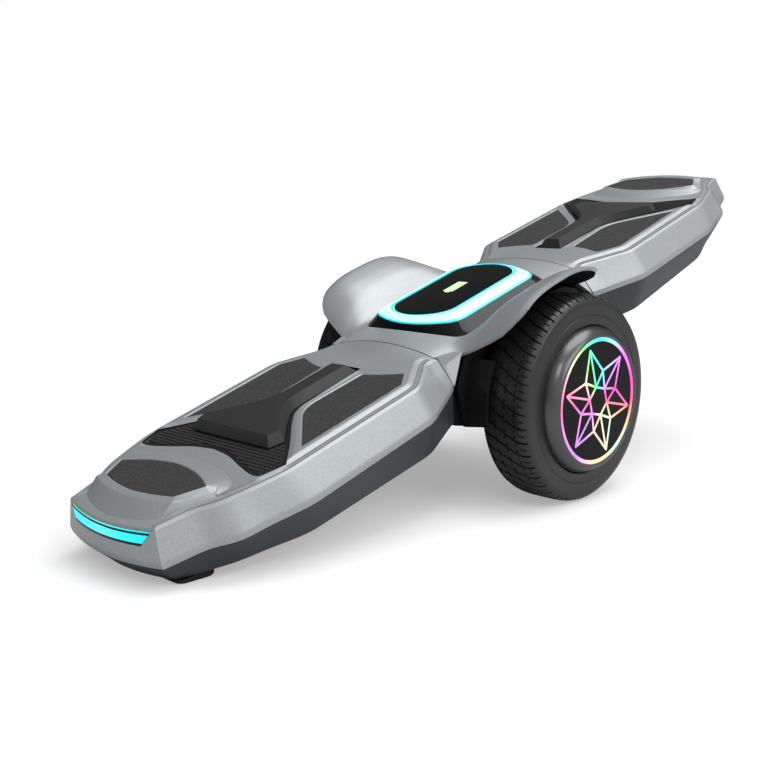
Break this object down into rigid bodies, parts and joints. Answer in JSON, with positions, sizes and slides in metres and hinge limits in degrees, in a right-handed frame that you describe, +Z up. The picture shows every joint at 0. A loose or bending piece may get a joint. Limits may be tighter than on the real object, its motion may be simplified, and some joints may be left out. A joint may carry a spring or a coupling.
{
  "type": "self balancing hoverboard",
  "caption": "Skateboard-shaped self-balancing board: hub-motor wheels on one cross axle under a lit pod, with a twisting foot deck at each end.",
  "frame": {"origin": "on the floor, under the middle of the bounding box of the board as it rests on both tyres and its front feet", "axes": "+X towards the nose-down front end of the board, +Y along the wheel axle to the left wheel, +Z up"},
  "size_m": [0.6974, 0.2562, 0.2627],
  "materials": {
    "silver_shell": "satin silver metallic paint on moulded plastic",
    "slate_shell": "satin slate grey moulded plastic",
    "black_liner": "black moulded plastic",
    "gloss_black": "piano black",
    "grip_tape": "fine gritty grip surface",
    "textured_rubber": "black rubber with small raised studs",
    "pedal_plastic": "matt charcoal plastic with a fine spark texture",
    "black_rubber": "smooth black rubber",
    "cyan_light": "translucent diffuser lit cyan",
    "hub_light": "translucent diffuser lit in changing colours",
    "tyre_rubber": "tyre rubber with a siped tread",
    "hub_metal": "satin dark grey paint",
    "steel": "ground steel",
    "casting": "die-cast aluminium",
    "motor_stator": "laminated iron with copper windings",
    "circuit_board": "green solder mask",
    "battery_sleeve": "blue shrink sleeve over cells",
    "bush_plastic": "black bearing plastic",
    "cable_sheath": "black cable sheath"
  },
  "bodies": {
    "pod": {"pod_upper_shell": "silver_shell", "pod_lower_shell": "black_liner", "left_wheel_liner": "black_liner", "right_wheel_liner": "black_liner", "display_base": "gloss_black", "display_light_ring": "cyan_light", "display_glass": "gloss_black", "display_board": "circuit_board", "axle_frame": "casting", "battery_pack": "battery_sleeve", "control_board": "circuit_board", "front_twist_bush": "bush_plastic", "rear_twist_bush": "bush_plastic", "left_motor_cable": "cable_sheath", "right_motor_cable": "cable_sheath", "left_stator": "motor_stator", "left_axle": "steel", "right_stator": "motor_stator", "right_axle": "steel"},
    "front_deck": {"front_deck_upper_shell": "silver_shell", "front_deck_lower_shell": "slate_shell", "front_left_grip_pad": "grip_tape", "front_right_grip_pad": "grip_tape", "front_toe_pad": "grip_tape", "front_textured_mat": "textured_rubber", "front_sensor_board": "circuit_board", "front_lamp_lens": "cyan_light", "front_left_floor_foot": "black_rubber", "front_right_floor_foot": "black_rubber", "front_twist_shaft": "steel", "front_deck_frame": "casting", "front_harness": "cable_sheath", "charge_socket": "black_liner"},
    "rear_deck": {"rear_deck_upper_shell": "silver_shell", "rear_deck_lower_shell": "slate_shell", "rear_right_grip_pad": "grip_tape", "rear_left_grip_pad": "grip_tape", "rear_toe_pad": "grip_tape", "rear_textured_mat": "textured_rubber", "rear_sensor_board": "circuit_board", "rear_lamp_lens": "cyan_light", "rear_right_floor_foot": "black_rubber", "rear_left_floor_foot": "black_rubber", "rear_twist_shaft": "steel", "rear_deck_frame": "casting", "rear_harness": "cable_sheath"},
    "front_pedal": {"front_foot_pedal": "pedal_plastic"},
    "rear_pedal": {"rear_foot_pedal": "pedal_plastic"},
    "left_wheel": {"left_tyre": "tyre_rubber", "left_hub_shell": "hub_metal", "left_hub_cover": "hub_metal", "left_hub_light_ring": "hub_light", "left_hub_disc": "gloss_black"},
    "right_wheel": {"right_tyre": "tyre_rubber", "right_hub_shell": "hub_metal", "right_hub_cover": "hub_metal", "right_hub_light_ring": "hub_light", "right_hub_disc": "gloss_black"},
    "charge_cap": {"charge_cap": "black_rubber"},
    "power_button": {"power_button": "gloss_black"}
  },
  "joints": [
    {"name": "left_wheel_spin", "type": "hinge", "parent": "pod", "child": "left_wheel", "pos_m": [-0.01561, 0.09635, 0.0825], "axis": [0, 1, 0], "continuous": true},
    {"name": "right_wheel_spin", "type": "hinge", "parent": "pod", "child": "right_wheel", "pos_m": [-0.01561, -0.09635, 0.0825], "axis": [0, 1, 0], "continuous": true},
    {"name": "front_deck_twist", "type": "hinge", "parent": "pod", "child": "front_deck", "pos_m": [0.07284, 0, 0.09582], "axis": [0.9511, 0, -0.309], "range_deg": [-8, 8], "stiffness_Nm_per_rad": 40},
    {"name": "rear_deck_twist", "type": "hinge", "parent": "pod", "child": "rear_deck", "pos_m": [-0.07933, 0, 0.14526], "axis": [0.9511, 0, -0.309], "range_deg": [-8, 8], "stiffness_Nm_per_rad": 40},
    {"name": "front_pedal_press", "type": "slide", "parent": "front_deck", "child": "front_pedal", "axis": [-0.309, 0, -0.9511], "range_m": [0, 0.002], "stiffness_N_per_m": 1500, "springref_m": -0.001},
    {"name": "rear_pedal_press", "type": "slide", "parent": "rear_deck", "child": "rear_pedal", "axis": [-0.309, 0, -0.9511], "range_m": [0, 0.002], "stiffness_N_per_m": 1500, "springref_m": -0.001},
    {"name": "power_button_press", "type": "slide", "parent": "front_deck", "child": "power_button", "axis": [0, 1, 0], "range_m": [0, 0.0015], "stiffness_N_per_m": 600, "springref_m": -0.001},
    {"name": "charge_cap_flip", "type": "hinge", "parent": "front_deck", "child": "charge_cap", "pos_m": [0.15886, -0.0868, 0.06934], "axis": [-0.9511, 0, 0.309], "range_deg": [0, 95]}
  ]
}
